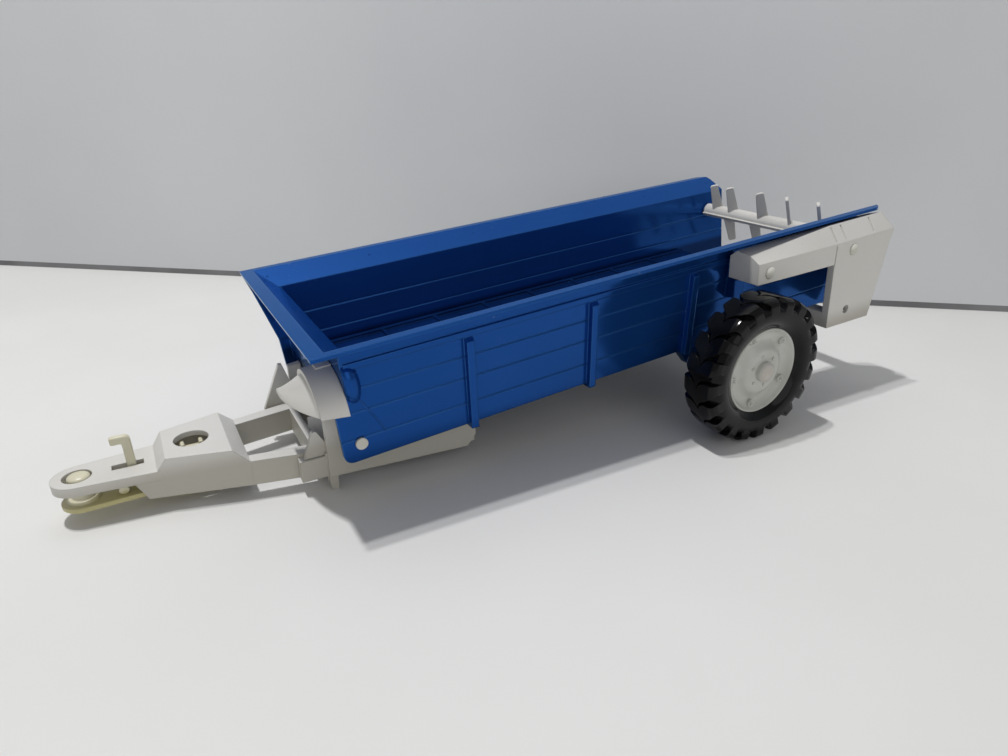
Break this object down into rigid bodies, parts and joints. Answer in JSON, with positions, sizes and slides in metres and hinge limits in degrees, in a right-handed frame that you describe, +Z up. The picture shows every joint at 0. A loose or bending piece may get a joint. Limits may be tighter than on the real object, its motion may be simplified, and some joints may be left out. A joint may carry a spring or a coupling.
{
  "type": "toy manure spreader",
  "caption": "Towed toy manure spreader: flared cast box, A-shaped drawbar with sprung hitch latch, side drive housing, rear beater and two ribbed tyres.",
  "frame": {"origin": "centre of the whole toy's footprint on the floor it stands on", "axes": "+X towards the hitch, +Y to the toy's left, +Z up"},
  "size_m": [0.3012, 0.1362, 0.0759],
  "materials": {
    "blue_enamel": "glossy",
    "grey_plastic": "satin",
    "cream_plastic": "satin, slightly yellowed",
    "hub_plastic": "semi-gloss",
    "black_vinyl": "glossy vinyl",
    "steel": "plain"
  },
  "bodies": {
    "chassis": {"load_box": "blue_enamel", "drawbar": "grey_plastic", "hitch_latch": "cream_plastic", "drawbar_pin": "cream_plastic", "front_shroud": "grey_plastic", "drive_housing": "grey_plastic", "housing_front_pin": "cream_plastic", "housing_rear_pin": "cream_plastic", "axle": "steel"},
    "left_wheel": {"left_tyre": "black_vinyl", "left_hub": "hub_plastic"},
    "right_wheel": {"right_tyre": "black_vinyl", "right_hub": "hub_plastic"},
    "beater_rotor": {"beater": "grey_plastic"}
  },
  "joints": [
    {"name": "left_wheel_spin", "type": "hinge", "parent": "chassis", "child": "left_wheel", "pos_m": [-0.0709, 0, 0.027], "axis": [0, 1, 0], "continuous": true},
    {"name": "right_wheel_spin", "type": "hinge", "parent": "chassis", "child": "right_wheel", "pos_m": [-0.0709, 0, 0.027], "axis": [0, 1, 0], "continuous": true},
    {"name": "beater_spin", "type": "hinge", "parent": "chassis", "child": "beater_rotor", "pos_m": [-0.13838, 0, 0.06211], "axis": [0, 1, 0], "continuous": true}
  ]
}
